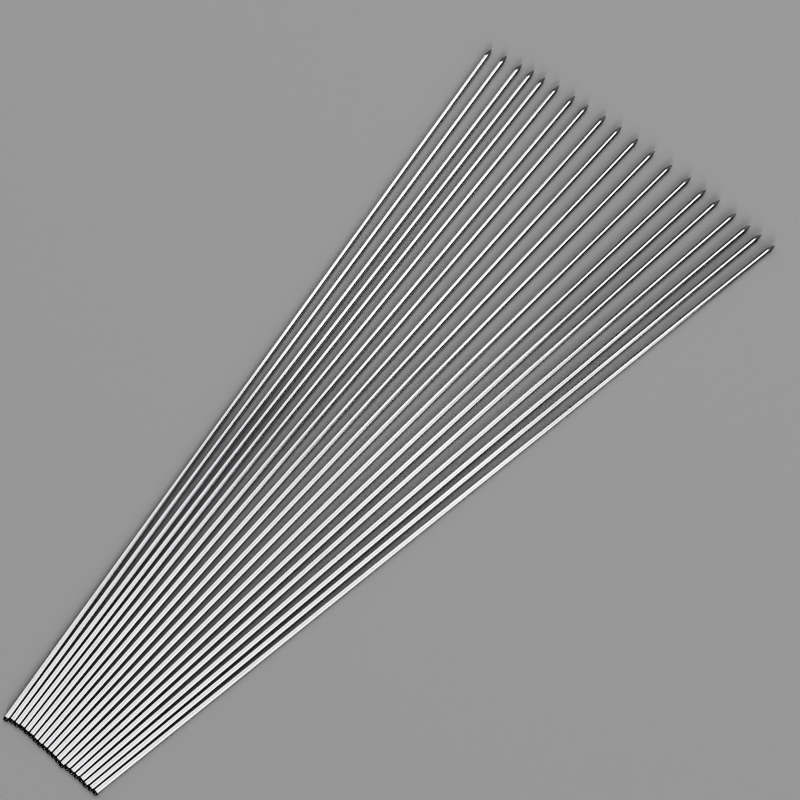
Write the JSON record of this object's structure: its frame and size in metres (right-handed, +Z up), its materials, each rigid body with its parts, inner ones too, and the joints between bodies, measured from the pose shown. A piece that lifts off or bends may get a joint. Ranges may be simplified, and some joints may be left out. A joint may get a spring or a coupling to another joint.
{
  "type": "pointed steel needle set",
  "caption": "Set of straight round steel needles, each ground to a point at one end and rounded off blunt at the other, laid flat in an open fan.",
  "frame": {"origin": "on the surface the needles rest on, under the middle of the set's box", "axes": "+Z up from the resting surface, +Y along the middle of the fan from the blunt ends to the points, +X to the right"},
  "size_m": [0.1744, 0.4026, 0.0025],
  "materials": {
    "drawn_steel": "bright drawn and polished stainless steel, with fine lines along the wire"
  },
  "bodies": {
    "needle_01": {"needle_01": "drawn_steel"},
    "needle_02": {"needle_02": "drawn_steel"},
    "needle_03": {"needle_03": "drawn_steel"},
    "needle_04": {"needle_04": "drawn_steel"},
    "needle_05": {"needle_05": "drawn_steel"},
    "needle_06": {"needle_06": "drawn_steel"},
    "needle_07": {"needle_07": "drawn_steel"},
    "needle_08": {"needle_08": "drawn_steel"},
    "needle_09": {"needle_09": "drawn_steel"},
    "needle_10": {"needle_10": "drawn_steel"},
    "needle_11": {"needle_11": "drawn_steel"},
    "needle_12": {"needle_12": "drawn_steel"},
    "needle_13": {"needle_13": "drawn_steel"},
    "needle_14": {"needle_14": "drawn_steel"},
    "needle_15": {"needle_15": "drawn_steel"},
    "needle_16": {"needle_16": "drawn_steel"},
    "needle_17": {"needle_17": "drawn_steel"},
    "needle_18": {"needle_18": "drawn_steel"},
    "needle_19": {"needle_19": "drawn_steel"},
    "needle_20": {"needle_20": "drawn_steel"}
  },
  "joints": [
    {"name": "needle_01_lift", "type": "slide", "parent": "needle_11", "child": "needle_01", "axis": [0, 0, 1], "range_m": [0, 0.05]},
    {"name": "needle_02_lift", "type": "slide", "parent": "needle_11", "child": "needle_02", "axis": [0, 0, 1], "range_m": [0, 0.05]},
    {"name": "needle_03_lift", "type": "slide", "parent": "needle_11", "child": "needle_03", "axis": [0, 0, 1], "range_m": [0, 0.05]},
    {"name": "needle_04_lift", "type": "slide", "parent": "needle_11", "child": "needle_04", "axis": [0, 0, 1], "range_m": [0, 0.05]},
    {"name": "needle_05_lift", "type": "slide", "parent": "needle_11", "child": "needle_05", "axis": [0, 0, 1], "range_m": [0, 0.05]},
    {"name": "needle_06_lift", "type": "slide", "parent": "needle_11", "child": "needle_06", "axis": [0, 0, 1], "range_m": [0, 0.05]},
    {"name": "needle_07_lift", "type": "slide", "parent": "needle_11", "child": "needle_07", "axis": [0, 0, 1], "range_m": [0, 0.05]},
    {"name": "needle_08_lift", "type": "slide", "parent": "needle_11", "child": "needle_08", "axis": [0, 0, 1], "range_m": [0, 0.05]},
    {"name": "needle_09_lift", "type": "slide", "parent": "needle_11", "child": "needle_09", "axis": [0, 0, 1], "range_m": [0, 0.05]},
    {"name": "needle_10_lift", "type": "slide", "parent": "needle_11", "child": "needle_10", "axis": [0, 0, 1], "range_m": [0, 0.05]},
    {"name": "needle_12_lift", "type": "slide", "parent": "needle_11", "child": "needle_12", "axis": [0, 0, 1], "range_m": [0, 0.05]},
    {"name": "needle_13_lift", "type": "slide", "parent": "needle_11", "child": "needle_13", "axis": [0, 0, 1], "range_m": [0, 0.05]},
    {"name": "needle_14_lift", "type": "slide", "parent": "needle_11", "child": "needle_14", "axis": [0, 0, 1], "range_m": [0, 0.05]},
    {"name": "needle_15_lift", "type": "slide", "parent": "needle_11", "child": "needle_15", "axis": [0, 0, 1], "range_m": [0, 0.05]},
    {"name": "needle_16_lift", "type": "slide", "parent": "needle_11", "child": "needle_16", "axis": [0, 0, 1], "range_m": [0, 0.05]},
    {"name": "needle_17_lift", "type": "slide", "parent": "needle_11", "child": "needle_17", "axis": [0, 0, 1], "range_m": [0, 0.05]},
    {"name": "needle_18_lift", "type": "slide", "parent": "needle_11", "child": "needle_18", "axis": [0, 0, 1], "range_m": [0, 0.05]},
    {"name": "needle_19_lift", "type": "slide", "parent": "needle_11", "child": "needle_19", "axis": [0, 0, 1], "range_m": [0, 0.05]},
    {"name": "needle_20_lift", "type": "slide", "parent": "needle_11", "child": "needle_20", "axis": [0, 0, 1], "range_m": [0, 0.05]}
  ]
}
